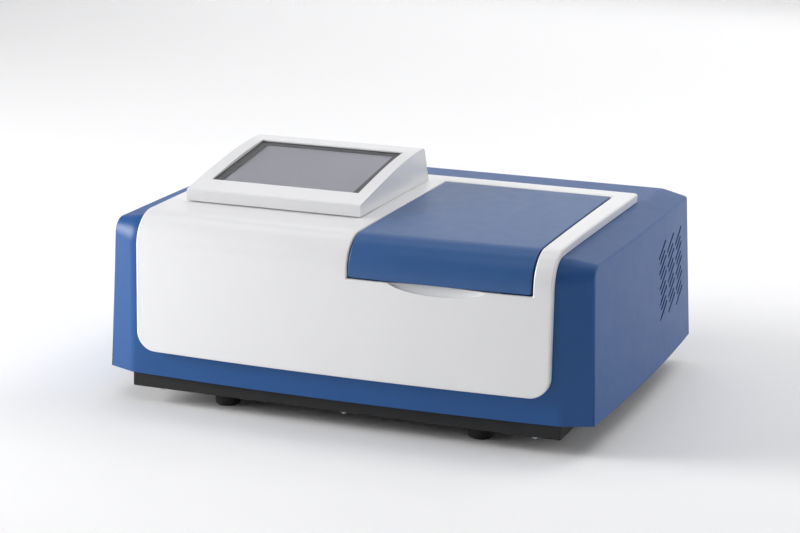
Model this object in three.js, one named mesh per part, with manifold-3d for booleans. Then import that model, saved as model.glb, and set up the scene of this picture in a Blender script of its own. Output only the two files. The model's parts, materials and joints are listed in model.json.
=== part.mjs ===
// Benchtop spectrophotometer: a blue moulded housing on a black base tray, a proud white
// fascia that wraps over its front and top, a hinged blue sample lid, a sloping touch-screen
// console, and the optics, electronics and rear fittings that it holds inside.
// Millimetres. +X right, +Y to the back, +Z up. The origin is on the bench, under the middle.
import * as THREE from 'three';
import { ConvexGeometry } from 'three/addons/geometries/ConvexGeometry.js';
import { mergeVertices } from 'three/addons/utils/BufferGeometryUtils.js';
import Module from 'manifold-3d';

const wasm = await Module();
wasm.setup();

// ---------- driving dimensions ----------
const GAP = 0.3;                 // air between neighbouring pieces
const FOOT_HEIGHT = 15.8;        // bench to the underside of the base tray
const FOOT_RADIUS = 11.5;
const FOOT_X = 123;
const FOOT_FRONT_Y = -132.7;
const FOOT_REAR_Y = 135;
const TRAY_HALF_WIDTH = 205;
const TRAY_FRONT = -163;
const TRAY_REAR = 168;
const TRAY_SHEET = 2;
const TRAY_FLANGE = { half: 223, setback: 12, rear: 173, corner: 14 };
const TRAY_SCREW_X = { left: -175.7, centre: 2.8, right: 181.4 };
const HOUSING_BOTTOM = 28.5;
const HOUSING_TOP = 173.1;
const HOUSING_FRONT = -171.8;    // at the middle of the bowed front
const HOUSING_BACK = 177;
const HOUSING_WALL = 2.2;
const CREASE_X = 204.4;          // where the front face folds into the side wings
const WING_FRONT_Y = -152.6;     // front vertical edge of each side
const SIDE_BULGE_X = 239.6;      // widest point, low on the side
const SIDE_BULGE_Y = 70.7;
const SIDE_FRONT_X = 231.7;      // half width at the front of the side, at the bottom
const SIDE_TOP_BULGE_X = 230;    // half width of the side's top edge, at its widest
const SIDE_TOP_BULGE_Y = 60;
const SIDE_TOP_FRONT_X = 226.5;
const SIDE_TOP_FRONT_Z = 168.8;
const SIDE_TOP_REAR_Z = 167;
const SIDE_CORNER_RADIUS = 13;   // seen from the side, where its front and top edges meet
const FASCIA_HALF_WIDTH = 195.6;
const FASCIA_REAR_HALF_WIDTH = 198.2;
const FASCIA_FLARE_Y = -90;      // its sides spread from here to the back
const FASCIA_PROUD = 8.2;        // how far the fascia stands off the housing
const FASCIA_WALL = 2.8;
const FASCIA_BOTTOM = 53.1;
const FASCIA_REAR = 103.5;
const FASCIA_CORNER = 18;        // radius of the bottom corners of the front
const FASCIA_REAR_CORNER = 5;
const FRONT_BOW = 7;             // how far the front falls back at the fascia's side edges
const ROLL_RADIUS = 30;          // front-top roll of the fascia and the lid
const CROWN_RADIUS = 10000;      // slight fall of the top towards the roll
const CROWN_START_Y = 0;
const LID_LEFT = 12.9;
const LID_RIGHT = 177.5;
const LID_REAR = 77.1;
const LID_BOTTOM = 144.6;
const LID_WALL = 3;
const LID_GAP = 1.3;
const LINER = { left: 30, right: 160, front: -110, rear: 48 };    // plate inside the lid
const HINGE_Y = 72;
const HINGE_Z = 175.8;
const HINGE_PIN_RADIUS = 1.5;
const SCOOP_X = 95.4;
const SCOOP_HALF_WIDTH = 46.6;
const SCOOP_DROP = 9.4;
const SCOOP_DEPTH = 5.2;
const CONSOLE_LEFT = -176.1;
const CONSOLE_RIGHT = -4.6;
const CONSOLE_FRONT = -107.3;
const CONSOLE_REAR = 75.9;
const CONSOLE_LIP_Z = 192.6;     // top of its upright front face
const CONSOLE_CREST_Y = 57;
const CONSOLE_CREST_Z = 215.6;
const CONSOLE_WALL = 2.5;
const SCREEN = { left: -163.1, right: -16.8, front: -80.6, rear: 37.1, rise: 17.1, z: 204.5 };
const BEAM_Y = -50;              // the light beam crosses the sample compartment along X
const BEAM_Z = 111;
const TUB = { left: 24, right: 166, front: -140, rear: 52, bottom: 76, top: 170.2, wall: 2 };
const CELL_PITCH = 20;
const CELL_COUNT = 4;
const CELL_WELL = 12.8;          // for a standard 12.5 mm cuvette
const BENCH_PLATE = { left: -200, right: 215, front: -148, rear: 148, bottom: 60, top: 66 };
const FAN = { x: 100, z: 106, size: 60, depth: 20, hub: 12 };
const INLET = { x: -150, z: 75 };
const VENT = { columns: 3, rows: 9, firstY: 55, pitchY: 32.2, lowZ: 71.9, pitchZ: 7.28,
  long: 30.5, short: 21.5, width: 3, tilt: THREE.MathUtils.degToRad(26) };

const FASCIA_TOP = HOUSING_TOP + FASCIA_PROUD;     // level of the fascia's flat top
const FASCIA_FRONT = HOUSING_FRONT - FASCIA_PROUD;
const HOUSING_ROLL_RADIUS = ROLL_RADIUS - FASCIA_PROUD;   // the housing rolls under the fascia

// ---------- finishes ----------
const finish = (color, roughness, metalness = 0) =>
  new THREE.MeshStandardMaterial({ color, roughness, metalness });
const BLUE = finish(0x2f5c9c, 0.45);
const WHITE = finish(0xe9eaec, 0.35);
const BLACK_METAL = finish(0x1f1f22, 0.5, 0.3);
const BLACK_PLASTIC = finish(0x18181a, 0.55);
const BEZEL_GREY = finish(0x5c5d62, 0.4);
const SCREEN_GREY = finish(0x9fa0a6, 0.3);
const RUBBER = finish(0x151515, 0.85);
const FOAM = finish(0x222224, 0.95);
const STEEL = finish(0xb8bbc0, 0.3, 1);
const ALUMINIUM = finish(0xa8abb0, 0.45, 1);
const ANODISED = finish(0x2a2a2e, 0.5, 0.6);
const GLASS = finish(0xdfe8ea, 0.05);
const MIRROR = finish(0xf2f4f6, 0.05, 1);
const CIRCUIT = finish(0x1d5a35, 0.5);

// ---------- solids ----------
function solid(geometry) {
  const bare = geometry.clone();
  bare.deleteAttribute('normal');
  bare.deleteAttribute('uv');
  const merged = mergeVertices(bare);
  const mesh = new wasm.Mesh({
    numProp: 3,
    vertProperties: new Float32Array(merged.attributes.position.array),
    triVerts: new Uint32Array(merged.index.array),
  });
  return new wasm.Manifold(mesh);
}

function surface(shape) {
  const mesh = shape.getMesh();
  const geometry = new THREE.BufferGeometry();
  geometry.setAttribute('position', new THREE.BufferAttribute(mesh.vertProperties, 3));
  geometry.setIndex(new THREE.BufferAttribute(mesh.triVerts, 1));
  geometry.computeVertexNormals();
  return geometry;
}

function block(x0, x1, y0, y1, z0, z1) {
  const geometry = new THREE.BoxGeometry(x1 - x0, y1 - y0, z1 - z0);
  geometry.translate((x0 + x1) / 2, (y0 + y1) / 2, (z0 + z1) / 2);
  return solid(geometry);
}

// A block given by its middle and its sizes.
function cuboid(x, y, z, width, depth, height) {
  return block(x - width / 2, x + width / 2, y - depth / 2, y + depth / 2,
    z - height / 2, z + height / 2);
}

// A round bar that starts at (x, y, z) and runs along one axis.
function bar(axis, radius, length, x, y, z, sides = 24) {
  const geometry = new THREE.CylinderGeometry(radius, radius, length, sides);
  if (axis === 'x') {
    geometry.rotateZ(-Math.PI / 2);
    geometry.translate(x + length / 2, y, z);
  } else if (axis === 'y') {
    geometry.translate(x, y + length / 2, z);
  } else {
    geometry.rotateX(Math.PI / 2);
    geometry.translate(x, y, z + length / 2);
  }
  return solid(geometry);
}

// A turned piece: the profile is a list of [radius, height] pairs about +Z.
function turned(profile, x, y, z, sides = 32) {
  const points = profile.map(([radius, height]) => new THREE.Vector2(radius, height));
  const geometry = new THREE.LatheGeometry(points, sides);
  geometry.rotateX(Math.PI / 2);
  geometry.translate(x, y, z);
  return solid(geometry);
}

function extrudedShape(points, depth, steps) {
  const shape = new THREE.Shape(points);
  return new THREE.ExtrudeGeometry(shape, { depth, steps, bevelEnabled: false });
}

// An outline in (y, z), carried along X.
function alongX(points, x0, x1, steps = 1) {
  const geometry = extrudedShape(points, x1 - x0, steps);
  const turn = new THREE.Matrix4().makeBasis(
    new THREE.Vector3(0, 1, 0), new THREE.Vector3(0, 0, 1), new THREE.Vector3(1, 0, 0));
  geometry.applyMatrix4(turn);
  geometry.translate(x0, 0, 0);
  return geometry;
}

// An outline in (x, z), carried along Y.
function alongY(points, y0, y1) {
  const geometry = extrudedShape(points, y1 - y0, 1);
  geometry.rotateX(Math.PI / 2);
  geometry.translate(0, y1, 0);
  return geometry;
}

// An outline in (x, y), carried along Z.
function alongZ(points, z0, z1) {
  const geometry = extrudedShape(points, z1 - z0, 1);
  geometry.translate(0, 0, z0);
  return geometry;
}

const point = (a, b) => new THREE.Vector2(a, b);

// A rectangle with rounded corners; radii are listed from the low-left corner anticlockwise.
function roundedRect(x0, x1, y0, y1, radii, steps = 6) {
  const corners = [
    [x0 + radii[0], y0 + radii[0], radii[0], Math.PI],
    [x1 - radii[1], y0 + radii[1], radii[1], 1.5 * Math.PI],
    [x1 - radii[2], y1 - radii[2], radii[2], 0],
    [x0 + radii[3], y1 - radii[3], radii[3], 0.5 * Math.PI],
  ];
  const outline = [];
  for (const [cx, cy, radius, start] of corners) {
    const count = radius > 0 ? steps : 0;
    for (let i = 0; i <= count; i++) {
      const angle = start + (Math.PI / 2) * (count ? i / count : 0);
      outline.push(point(cx + radius * Math.cos(angle), cy + radius * Math.sin(angle)));
    }
  }
  return outline;
}

// ---------- the bowed front ----------
const bowAt = (x) => FRONT_BOW * (x / FASCIA_HALF_WIDTH) ** 2;
const BOW_FULL_Y = -145;         // the bow is whole in front of this
const BOW_NONE_Y = -45;          // and gone behind this

function bowed(geometry) {
  const place = geometry.attributes.position;
  for (let i = 0; i < place.count; i++) {
    const y = place.getY(i);
    const share = THREE.MathUtils.clamp((BOW_NONE_Y - y) / (BOW_NONE_Y - BOW_FULL_Y), 0, 1);
    place.setY(i, y + share * bowAt(place.getX(i)));
  }
  return geometry;
}

// The fascia's side view from its lower front edge, over the roll, to the back.
// The inset moves the whole curve inwards, for the inner faces.
function frontOverTop(inset, startZ, endY) {
  const spread = CROWN_RADIUS - ROLL_RADIUS;
  const slope = Math.asin((CROWN_START_Y - FASCIA_FRONT - ROLL_RADIUS) / spread);
  const crownZ = FASCIA_TOP - CROWN_RADIUS;
  const rollY = FASCIA_FRONT + ROLL_RADIUS;
  const rollZ = crownZ + spread * Math.cos(slope);
  const curve = [point(FASCIA_FRONT + inset, startZ)];
  const rollSteps = 7;
  for (let i = 0; i <= rollSteps; i++) {
    const angle = Math.PI - (Math.PI / 2 - slope) * (i / rollSteps);
    const radius = ROLL_RADIUS - inset;
    curve.push(point(rollY + radius * Math.cos(angle), rollZ + radius * Math.sin(angle)));
  }
  const crownSteps = 4;
  for (let i = 1; i <= crownSteps; i++) {
    const angle = Math.PI / 2 + slope * (1 - i / crownSteps);
    const radius = CROWN_RADIUS - inset;
    curve.push(point(CROWN_START_Y + radius * Math.cos(angle), crownZ + radius * Math.sin(angle)));
  }
  curve.push(point(endY, FASCIA_TOP - inset));
  return curve;
}

const X_STEPS = 14;              // facets across the bowed front
const FAR = 260;                 // past every outer face, for cutting shapes

// ---------- housing ----------
const sideBottomX = (y) => {
  const fall = (SIDE_BULGE_X - SIDE_FRONT_X) / (WING_FRONT_Y - SIDE_BULGE_Y) ** 2;
  return SIDE_BULGE_X - fall * (y - SIDE_BULGE_Y) ** 2;
};
const sideTopX = (y) => {
  const fall = (SIDE_TOP_BULGE_X - SIDE_TOP_FRONT_X) / (WING_FRONT_Y - SIDE_TOP_BULGE_Y) ** 2;
  return SIDE_TOP_BULGE_X - fall * (y - SIDE_TOP_BULGE_Y) ** 2;
};
const sideTopZ = (y) => THREE.MathUtils.mapLinear(
  y, WING_FRONT_Y, HOUSING_BACK, SIDE_TOP_FRONT_Z, SIDE_TOP_REAR_Z);
const sideX = (y, z) => THREE.MathUtils.mapLinear(
  z, HOUSING_BOTTOM, sideTopZ(y), sideBottomX(y), sideTopX(y));

// Points of the quarter turn from an upright front edge to a top edge, as [y, z] pairs.
function frontToTop(frontY, topZ, radius) {
  const steps = 5;
  const points = [];
  for (let i = 0; i <= steps; i++) {
    const angle = (Math.PI / 2) * (i / steps);
    points.push([frontY + radius * (1 - Math.cos(angle)), topZ - radius * (1 - Math.sin(angle))]);
  }
  return points;
}

// The housing's outer form, grown outwards by a distance (shrunk if it is negative).
function housingForm(grow, bottom) {
  const points = [];
  const add = (x, y, z) => {
    points.push(new THREE.Vector3(x, y, z), new THREE.Vector3(-x, y, z));
  };
  const frontSteps = 6;
  const creaseX = CREASE_X + grow / 2;
  for (let i = 0; i <= frontSteps; i++) {
    const x = creaseX * (i / frontSteps);
    const frontY = HOUSING_FRONT + bowAt(x) - grow;
    add(x, frontY, bottom);
    for (const [y, z] of frontToTop(frontY, HOUSING_TOP + grow, HOUSING_ROLL_RADIUS + grow)) {
      add(x, y, z);
    }
  }
  const wingFront = WING_FRONT_Y - grow;
  const cornerTop = sideTopZ(WING_FRONT_Y) + grow;
  for (const [y, z] of frontToTop(wingFront, cornerTop, SIDE_CORNER_RADIUS + grow)) {
    add(sideX(y, z) + grow, y, z);
  }
  const sideSteps = 6;
  for (let i = 0; i <= sideSteps; i++) {
    const y = THREE.MathUtils.lerp(wingFront, HOUSING_BACK + grow, i / sideSteps);
    add(sideX(y, bottom) + grow, y, bottom);
    if (i > 0) {
      add(sideTopX(y) + grow, y, sideTopZ(y) + grow);
    }
  }
  add(creaseX, HOUSING_BACK + grow, HOUSING_TOP + grow);
  return solid(new ConvexGeometry(points));
}

function ventSlots() {
  const slots = [];
  for (let column = 0; column < VENT.columns; column++) {
    for (let row = 0; row < VENT.rows; row++) {
      const length = row % 2 === 0 ? VENT.long : VENT.short;
      const geometry = new THREE.BoxGeometry(30, length, VENT.width);
      geometry.rotateX(VENT.tilt);
      const middleY = VENT.firstY + column * VENT.pitchY + VENT.long / 2 * Math.cos(VENT.tilt);
      const middleZ = VENT.lowZ + row * VENT.pitchZ + VENT.long / 2 * Math.sin(VENT.tilt);
      geometry.translate(SIDE_TOP_BULGE_X + 4, middleY, middleZ);
      slots.push(solid(geometry));
    }
  }
  return wasm.Manifold.union(slots);
}

const CABLE_HOLE = { x0: -110, x1: -70, y0: -30, y1: 10 };
const TUB_OPENING_REAR = 82;     // room for the lid's tail as it swings down
const SERIAL = { x: -40, z: 75 };
const USB = { x: -85, z: 75 };
const ROCKER = { x: -197, z: 75 };

function rearCutouts() {
  const through = [
    cuboid(INLET.x, HOUSING_BACK, INLET.z, 30, 12, 42),
    cuboid(ROCKER.x, HOUSING_BACK, ROCKER.z, 19.8, 12, 13.8),
    cuboid(USB.x, HOUSING_BACK, USB.z, 12.6, 12, 11.6),
    cuboid(SERIAL.x, HOUSING_BACK, SERIAL.z, 20, 12, 11.4),
    bar('y', FAN.size / 2 - 3, 12, FAN.x, HOUSING_BACK - 6, FAN.z, 28),
  ];
  return wasm.Manifold.union(through);
}

function housingShell() {
  const outer = housingForm(0, HOUSING_BOTTOM);
  const inner = housingForm(-HOUSING_WALL, HOUSING_BOTTOM - 5);
  const lidWell = block(LID_LEFT - 1, LID_RIGHT + 1, TUB.front - 5, TUB_OPENING_REAR,
    HOUSING_TOP - 10, HOUSING_TOP + 5);
  const cableHole = block(CABLE_HOLE.x0, CABLE_HOLE.x1, CABLE_HOLE.y0, CABLE_HOLE.y1,
    HOUSING_TOP - 10, HOUSING_TOP + 5);
  return outer.subtract(inner).subtract(lidWell).subtract(cableHole)
    .subtract(ventSlots()).subtract(rearCutouts());
}

// ---------- fascia ----------
// The fascia's solid form before it is hollowed, shrunk by an inset. Its plan spreads a little
// behind the flare line, and its front has rounded bottom corners.
function fasciaForm(inset) {
  const rollCentreY = FASCIA_FRONT + ROLL_RADIUS;
  const rollCentreZ = FASCIA_TOP - ROLL_RADIUS;
  const rearY = FASCIA_REAR - inset;
  const side = frontOverTop(inset, FASCIA_BOTTOM + inset, rearY);
  side.push(point(rearY, rollCentreZ));
  side.push(point(rollCentreY, rollCentreZ));
  side.push(point(rollCentreY, FASCIA_BOTTOM + inset));
  side.reverse();
  const half = FASCIA_HALF_WIDTH - inset;
  const rearHalf = FASCIA_REAR_HALF_WIDTH - inset;
  const wrap = solid(bowed(alongX(side, -rearHalf, rearHalf, X_STEPS)));
  const corner = FASCIA_CORNER - inset;
  const frontOutline = roundedRect(-half, half, FASCIA_BOTTOM + inset, rollCentreZ,
    [corner, corner, 0, 0]);
  frontOutline.splice(-2, 2, point(half, rollCentreZ), point(rearHalf, rollCentreZ),
    point(rearHalf, FAR), point(-rearHalf, FAR), point(-rearHalf, rollCentreZ),
    point(-half, rollCentreZ));
  const rear = FASCIA_REAR_CORNER;
  const planOutline = roundedRect(-rearHalf, rearHalf, FASCIA_FLARE_Y, rearY,
    [0, 0, rear, rear], 4);
  planOutline.splice(0, 2, point(-half, FASCIA_FLARE_Y), point(-half, -FAR), point(half, -FAR),
    point(half, FASCIA_FLARE_Y));
  return wrap
    .intersect(solid(alongY(frontOutline, -FAR, FAR)))
    .intersect(solid(alongZ(planOutline, 0, FAR)));
}

function fingerScoop() {
  const geometry = new THREE.SphereGeometry(1, 28, 14);
  geometry.scale(SCOOP_HALF_WIDTH, SCOOP_DEPTH, SCOOP_DROP);
  geometry.translate(SCOOP_X, FASCIA_FRONT + bowAt(SCOOP_X), LID_BOTTOM);
  return solid(geometry);
}

function frontFascia() {
  const outer = fasciaForm(0);
  const backing = outer.intersect(block(SCOOP_X - SCOOP_HALF_WIDTH - 4,
    SCOOP_X + SCOOP_HALF_WIDTH + 4, -190, -160, LID_BOTTOM - SCOOP_DROP - 4, LID_BOTTOM));
  const lidOpening = block(LID_LEFT - LID_GAP, LID_RIGHT + LID_GAP, -FAR, LID_REAR + LID_GAP,
    LID_BOTTOM - LID_GAP, FAR);
  const cableHole = block(CABLE_HOLE.x0, CABLE_HOLE.x1, CABLE_HOLE.y0, CABLE_HOLE.y1, 160, 190);
  return outer.subtract(fasciaForm(FASCIA_WALL)).add(backing)
    .subtract(housingForm(GAP, HOUSING_BOTTOM))
    .subtract(lidOpening).subtract(fingerScoop()).subtract(cableHole);
}

// ---------- sample lid ----------
function sampleLid() {
  const tail = 2;                // radius of the rear edge
  const outside = frontOverTop(0, LID_BOTTOM, LID_REAR - tail);
  outside.push(point(LID_REAR - 0.6, FASCIA_TOP - 0.6));
  outside.push(point(LID_REAR, FASCIA_TOP - tail));
  outside.push(point(LID_REAR, FASCIA_TOP - LID_WALL));
  const inside = frontOverTop(LID_WALL, LID_BOTTOM, LID_REAR - tail).reverse();
  const outline = outside.concat(inside).reverse();
  const skin = solid(bowed(alongX(outline, LID_LEFT, LID_RIGHT, X_STEPS / 2)));
  const ribWidth = 2.4;
  const ribZ = [HINGE_Z - 2.6, FASCIA_TOP - LID_WALL + 0.5];
  const ribFront = -80;
  const ribRear = HINGE_Y + 3.4;
  const leftRib = block(LID_LEFT, LID_LEFT + ribWidth, ribFront, ribRear, ...ribZ);
  const rightRib = block(LID_RIGHT - ribWidth, LID_RIGHT, ribFront, ribRear, ...ribZ);
  const pinHole = bar('x', HINGE_PIN_RADIUS + 0.2, 200, 0, HINGE_Y, HINGE_Z);
  return skin.add(leftRib).add(rightRib).subtract(pinHole);
}

const HINGE_PIN_LENGTH = 9.6;
const hingePin = (x) => bar('x', HINGE_PIN_RADIUS, HINGE_PIN_LENGTH, x, HINGE_Y, HINGE_Z);

function hingeBracket(x0, x1) {
  const body = block(x0, x1, HINGE_Y - 7, HINGE_Y + 5, HOUSING_TOP + GAP, HINGE_Z + 2.3);
  const bore = bar('x', HINGE_PIN_RADIUS + 0.07, x1 - x0 + 2, x0 - 1, HINGE_Y, HINGE_Z);
  return body.subtract(bore);
}

// ---------- sample compartment ----------
function sampleCompartment() {
  const { left, right, front, rear, bottom, top, wall } = TUB;
  const outside = block(left, right, front, rear, bottom, top);
  const flange = block(LID_LEFT - 3, LID_RIGHT + 3, front - 8, TUB_OPENING_REAR + 3, top - 2, top);
  const inside = block(left + wall, right - wall, front + wall, rear - wall, bottom + wall,
    top + 5);
  const beamHoles = bar('x', 7.5, 200, left - 10, BEAM_Y, BEAM_Z);
  const screwHole = bar('y', 3.6, 20, CARRIAGE.screwX, rear - 10, CARRIAGE.rodZ);
  return outside.add(flange).subtract(inside).subtract(beamHoles).subtract(screwHole);
}

const CARRIAGE = { railX: 75, screwX: 115, rodZ: 84, rodRadius: 3, blockX: 95, motorY: 70.5 };

function compartmentSeal() {
  const low = TUB.top + GAP;
  const high = low + 3.6;
  const ring = block(TUB.left - 5, TUB.right + 5, TUB.front - 5, TUB.rear + 5, low, high);
  return ring.subtract(block(TUB.left, TUB.right, TUB.front, TUB.rear, low - 1, high + 1));
}

function cellCarriage() {
  const length = CELL_COUNT * CELL_PITCH + 4;
  const middleY = BEAM_Y - CELL_PITCH * (CELL_COUNT - 1) / 2;
  const { railX, screwX, rodZ, rodRadius, blockX } = CARRIAGE;
  const clearance = 0.4;
  const baseTop = rodZ + 5;
  const blockTop = 129;
  let body = block(railX - 9, screwX + 9, middleY - length / 2, middleY + length / 2,
    rodZ - 5, baseTop);
  body = body.add(block(blockX - 11, blockX + 11, middleY - length / 2, middleY + length / 2,
    baseTop - 1, blockTop));
  for (const x of [railX, screwX]) {
    body = body.subtract(bar('y', rodRadius + clearance, length + 4, x,
      middleY - length / 2 - 2, rodZ));
  }
  for (let i = 0; i < CELL_COUNT; i++) {
    const y = middleY + (i - (CELL_COUNT - 1) / 2) * CELL_PITCH;
    const wellFloor = BEAM_Z - 15;
    body = body.subtract(block(blockX - CELL_WELL / 2, blockX + CELL_WELL / 2,
      y - CELL_WELL / 2, y + CELL_WELL / 2, wellFloor, blockTop + 1));
    body = body.subtract(block(blockX - 20, blockX + 20, y - 3.5, y + 3.5,
      BEAM_Z - 8, BEAM_Z + 9));
  }
  return body;
}

function beamLens(x) {
  const radius = 7.2;
  const profile = [[0, 0], [radius, 0], [radius, 1.6], [radius * 0.6, 2.7], [0, 3.1]];
  const geometry = new THREE.LatheGeometry(profile.map(([r, h]) => point(r, h)), 24);
  geometry.rotateZ(-Math.PI / 2);
  geometry.translate(x, BEAM_Y, BEAM_Z);
  return solid(geometry);
}

// ---------- base ----------
// A plan outline whose front edge follows the bow, set back from the housing's front.
function bowedPlan(half, setback, rear, corner) {
  const outline = [];
  const steps = 8;
  for (let i = 0; i <= steps; i++) {
    const x = (half - corner) * (2 * i / steps - 1);
    outline.push(point(x, HOUSING_FRONT + setback + bowAt(x)));
  }
  const frontY = HOUSING_FRONT + setback + bowAt(half - corner);
  outline.push(point(half, frontY + corner));
  outline.push(point(half, rear));
  outline.push(point(-half, rear));
  outline.push(point(-half, frontY + corner));
  return outline;
}

// A folded pan under the housing. Above the housing's lower edge it steps back to fit inside,
// and a flange runs round its rim.
function baseTray() {
  const panTop = HOUSING_BOTTOM - GAP;
  const wallTop = HOUSING_BOTTOM + 2.6;
  const setback = 3;
  const half = TRAY_HALF_WIDTH;
  const corners = [2, 2, 2, 2];
  const inner = half - TRAY_SHEET;
  const pan = roundedRect(-half, half, TRAY_FRONT, TRAY_REAR, corners, 2);
  const riser = roundedRect(-half, half, TRAY_FRONT + setback, TRAY_REAR, corners, 2);
  const inside = roundedRect(-inner, inner, TRAY_FRONT + setback + TRAY_SHEET,
    TRAY_REAR - TRAY_SHEET, corners, 2);
  const { half: flangeHalf, setback: flangeSetback, rear: flangeRear, corner } = TRAY_FLANGE;
  const flange = bowedPlan(flangeHalf, flangeSetback, flangeRear, corner);
  return solid(alongZ(pan, FOOT_HEIGHT, panTop))
    .add(solid(alongZ(riser, panTop - 1, wallTop)))
    .add(solid(alongZ(flange, wallTop - TRAY_SHEET, wallTop)))
    .subtract(solid(alongZ(inside, FOOT_HEIGHT + TRAY_SHEET, wallTop + 1)));
}

function rubberFoot(x, y) {
  const top = FOOT_HEIGHT - GAP;
  const profile = [[0, 0], [FOOT_RADIUS - 1.5, 0], [FOOT_RADIUS - 0.4, 1.2],
    [FOOT_RADIUS, top - 1], [FOOT_RADIUS - 1, top], [0, top]];
  return turned(profile, x, y, 0, 28);
}

function trayScrew(x) {
  const profile = [[0, -2.2], [1.6, -2], [2.8, -1.3], [3.2, -0.3], [0, -0.3]];
  return turned(profile, x, TRAY_FRONT + 3.5, FOOT_HEIGHT, 16);
}

// ---------- touch-screen console ----------
// Pull points of the curve that its top follows from the lip to the crest.
const CROWN_HANDLES = { low: { y: -47.6, z: 203.8 }, high: { y: 8, z: 214.6 } };

function consoleOutline(inset, bottom) {
  const lip = 1.2;               // radius of the front-top edge
  const crown = new THREE.CubicBezierCurve(
    point(CONSOLE_FRONT + lip + inset, CONSOLE_LIP_Z - inset),
    point(CROWN_HANDLES.low.y, CROWN_HANDLES.low.z - inset),
    point(CROWN_HANDLES.high.y, CROWN_HANDLES.high.z - inset),
    point(CONSOLE_CREST_Y - inset * 0.5, CONSOLE_CREST_Z - inset));
  const outline = [point(CONSOLE_FRONT + inset, bottom),
    point(CONSOLE_FRONT + inset, CONSOLE_LIP_Z - lip - inset)];
  outline.push(...crown.getPoints(12));
  const shoulder = new THREE.QuadraticBezierCurve(
    point(CONSOLE_CREST_Y + 1 - inset * 0.5, CONSOLE_CREST_Z - inset),
    point(CONSOLE_CREST_Y + 6 - inset, CONSOLE_CREST_Z - inset),
    point(CONSOLE_CREST_Y + 8.5 - inset, CONSOLE_CREST_Z - 8 - inset));
  outline.push(...shoulder.getPoints(4));
  outline.push(point(CONSOLE_REAR - inset, bottom));
  return outline.reverse();
}

const SCREEN_SLOPE = Math.atan2(SCREEN.rise, SCREEN.rear - SCREEN.front);
const SCREEN_WIDTH = SCREEN.right - SCREEN.left;
const SCREEN_DEPTH = (SCREEN.rear - SCREEN.front) / Math.cos(SCREEN_SLOPE);
const SCREEN_X = (SCREEN.left + SCREEN.right) / 2;
const SCREEN_Y = (SCREEN.front + SCREEN.rear) / 2;
const SCREEN_BORDER = 2.2;       // how far the glass runs under the console
const GLASS_WIDTH = SCREEN_WIDTH + 2 * SCREEN_BORDER;
const GLASS_DEPTH = SCREEN_DEPTH + 2 * SCREEN_BORDER;

function inScreenPlane(geometry) {
  geometry.rotateX(SCREEN_SLOPE);
  geometry.translate(SCREEN_X, SCREEN_Y, SCREEN.z);
  return geometry;
}

function consoleHousing() {
  const bottom = FASCIA_TOP + GAP;
  const outer = solid(alongX(consoleOutline(0, bottom), CONSOLE_LEFT, CONSOLE_RIGHT));
  const hollow = solid(alongX(consoleOutline(CONSOLE_WALL, bottom - 5),
    CONSOLE_LEFT + CONSOLE_WALL, CONSOLE_RIGHT - CONSOLE_WALL));
  const window = block(SCREEN.left, SCREEN.right, SCREEN.front, SCREEN.rear, 180, 260);
  const surround = new THREE.BoxGeometry(SCREEN_WIDTH + 5, SCREEN_DEPTH + 5, 30);
  surround.translate(0, 0, 15 + GAP);
  const frame = solid(inScreenPlane(surround));
  const pocket = screenLayer(GLASS_WIDTH + 2 * GAP, GLASS_DEPTH + 2 * GAP, -12, GAP);
  return outer.subtract(hollow.subtract(frame)).subtract(window).subtract(pocket);
}

function screenLayer(width, depth, low, high) {
  const geometry = new THREE.BoxGeometry(width, depth, high - low);
  geometry.translate(0, 0, (low + high) / 2);
  return solid(inScreenPlane(geometry));
}

const LCD = { side: 8, front: 3.5, rear: 6 };

function displayBezel() {
  const ring = screenLayer(GLASS_WIDTH, GLASS_DEPTH, -2, -1.3);
  const open = new THREE.BoxGeometry(SCREEN_WIDTH - 2 * LCD.side,
    SCREEN_DEPTH - LCD.front - LCD.rear, 6);
  open.translate(0, (LCD.front - LCD.rear) / 2, 0);
  return ring.subtract(solid(inScreenPlane(open)));
}

// ---------- optics ----------
const MONO = { left: -195, right: 6, front: -140, rear: 20, wall: 4, top: 150 };
const FLOOR = BENCH_PLATE.top + GAP;           // of the pieces that stand on the bench plate
const TRAY_FLOOR = FOOT_HEIGHT + TRAY_SHEET + GAP;
const ENTRY_X = -40;
const GRATING = { x: -110, y: -14, z: 92 };
const COLLIMATOR = { x: -62, y: -120, facing: 0 };     // facing in degrees from +Y
const FOCUSER = { x: -172, y: -96, facing: -70 };
const MIRROR_TOP = 128;
const FILTER_CENTRE_Z = BEAM_Z - 17;

function opticalBench() {
  const { left, right, front, rear, bottom, top } = BENCH_PLATE;
  let plate = block(left, right, front, rear, bottom, top);
  for (const x of [left + 12, right - 27]) {
    for (const y of [front + 12, rear - 12]) {
      plate = plate.add(cuboid(x, y, (TRAY_FLOOR + bottom) / 2 + 0.5, 18, 18,
        bottom - TRAY_FLOOR + 1));
    }
  }
  return plate;
}

function monochromatorBox() {
  const { left, right, front, rear, wall, top } = MONO;
  const outside = block(left, right, front, rear, FLOOR, top);
  const inside = block(left + wall, right - wall, front + wall, rear - wall, FLOOR + wall, top + 5);
  const exitSlit = cuboid(right, BEAM_Y, BEAM_Z, 20, 2.4, 12);
  const entrySlit = cuboid(ENTRY_X, rear, BEAM_Z, 2.4, 20, 12);
  return outside.subtract(inside).subtract(exitSlit).subtract(entrySlit);
}

function gratingTurntable() {
  const profile = [[0, 0], [2.4, 0], [2.4, 4], [15, 4], [15, 8], [0, 8]];
  return turned(profile, GRATING.x, GRATING.y, GRATING.z, 28);
}

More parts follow.
